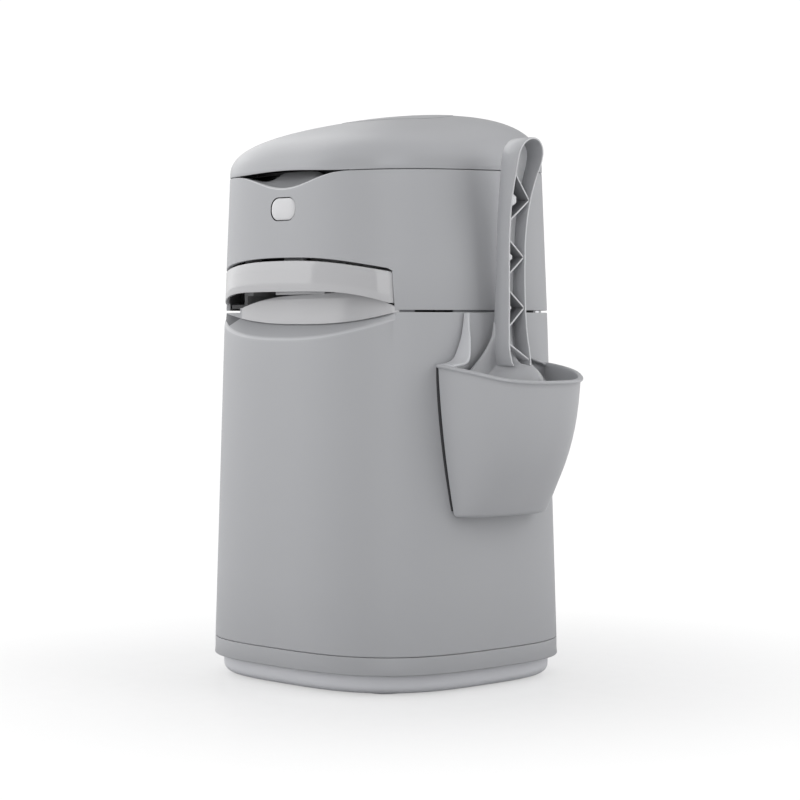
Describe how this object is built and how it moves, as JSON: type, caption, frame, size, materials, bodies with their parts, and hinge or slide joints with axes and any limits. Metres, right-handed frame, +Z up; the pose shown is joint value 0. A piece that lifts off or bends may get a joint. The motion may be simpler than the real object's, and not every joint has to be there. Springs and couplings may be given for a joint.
{
  "type": "litter disposal pail",
  "caption": "Free-standing litter disposal pail with a domed hinged lid, hinged head with pull-out waste gate, push button latch, refill cassette, and a hanging scoop in a side holder.",
  "frame": {"origin": "centre of the body's footprint, on the floor under the foot pads", "axes": "+Z up; the front with the button and pull handle faces -Y; the scoop holder is on the +X side"},
  "size_m": [0.2887, 0.2319, 0.4265],
  "materials": {
    "body_grey": "satin moulded",
    "pan_grey": "satin moulded",
    "pad_grey": "matt moulded",
    "screw_steel": "zinc plated",
    "inner_grey": "fine matt moulded",
    "cassette_white": "gloss moulded",
    "cassette_cap": "gloss moulded",
    "film_pack": "gathered film",
    "film": "thin translucent film",
    "dark_plastic": "matt moulded",
    "blade_steel": "ground",
    "trim_grey": "satin moulded",
    "seal_black": "matt",
    "pin_steel": "ground",
    "lid_grey": "satin moulded",
    "button_grey": "satin moulded",
    "holder_grey": "satin moulded",
    "scoop_grey": "satin moulded"
  },
  "bodies": {
    "pail": {"pail_shell": "body_grey", "base_ring": "body_grey", "base_pan": "pan_grey", "foot_pads": "pad_grey", "base_screws": "screw_steel", "cassette_tray": "inner_grey", "cassette_body": "cassette_white", "cassette_cap": "cassette_cap", "film_pack": "film_pack", "film_bag": "film", "cutter_housing": "dark_plastic", "cutter_blade": "blade_steel", "head_hinge_brackets": "body_grey", "holder_stud": "body_grey"},
    "head": {"head_shell": "body_grey", "hopper": "inner_grey", "chassis": "inner_grey", "grip_recess": "trim_grey", "gate_rails": "inner_grey", "gate_seal": "seal_black", "chassis_screws": "screw_steel", "deck_screws": "screw_steel", "latch_pivot_pins": "pin_steel", "latch_spring": "pin_steel", "head_hinge_arms": "body_grey", "head_hinge_pins": "pin_steel", "lid_hinge_brackets": "body_grey"},
    "lid": {"lid_shell": "lid_grey", "lid_inlay": "lid_grey", "lid_liner": "inner_grey", "lid_gasket": "seal_black", "liner_screws": "screw_steel", "lid_hinge_arms": "lid_grey", "lid_hinge_pins": "pin_steel"},
    "gate": {"pull_handle": "trim_grey", "gate_plate": "inner_grey", "gate_screws": "screw_steel"},
    "button": {"release_button": "button_grey"},
    "latch": {"latch_yoke": "dark_plastic"},
    "holder": {"scoop_holder": "holder_grey"},
    "scoop": {"scoop": "scoop_grey"}
  },
  "joints": [
    {"name": "head_hinge", "type": "hinge", "parent": "pail", "child": "head", "pos_m": [0, 0.1132, 0.274], "axis": [-1, 0, 0], "range_deg": [0, 95]},
    {"name": "lid_hinge", "type": "hinge", "parent": "head", "child": "lid", "pos_m": [0, 0.1092, 0.3804], "axis": [-1, 0, 0], "range_deg": [0, 105]},
    {"name": "gate_slide", "type": "slide", "parent": "head", "child": "gate", "axis": [0, -1, 0], "range_m": [0, 0.112]},
    {"name": "button_press", "type": "slide", "parent": "head", "child": "button", "axis": [0, 1, 0], "range_m": [0, 0.004], "stiffness_N_per_m": 400, "springref_m": -0.001},
    {"name": "latch_swing", "type": "hinge", "parent": "head", "child": "latch", "pos_m": [0, -0.0625, 0.318], "axis": [-1, 0, 0], "range_deg": [0, 7.3], "deforming": ["latch_spring"]},
    {"name": "holder_lift", "type": "slide", "parent": "pail", "child": "holder", "axis": [0, 0, 1], "range_m": [0, 0.016]},
    {"name": "scoop_lift", "type": "slide", "parent": "holder", "child": "scoop", "axis": [0, 0, 1], "range_m": [0, 0.16]}
  ],
  "couplings": [
    {"joint": "latch_swing", "follows": "button_press", "rad_per_m": 31.5}
  ]
}
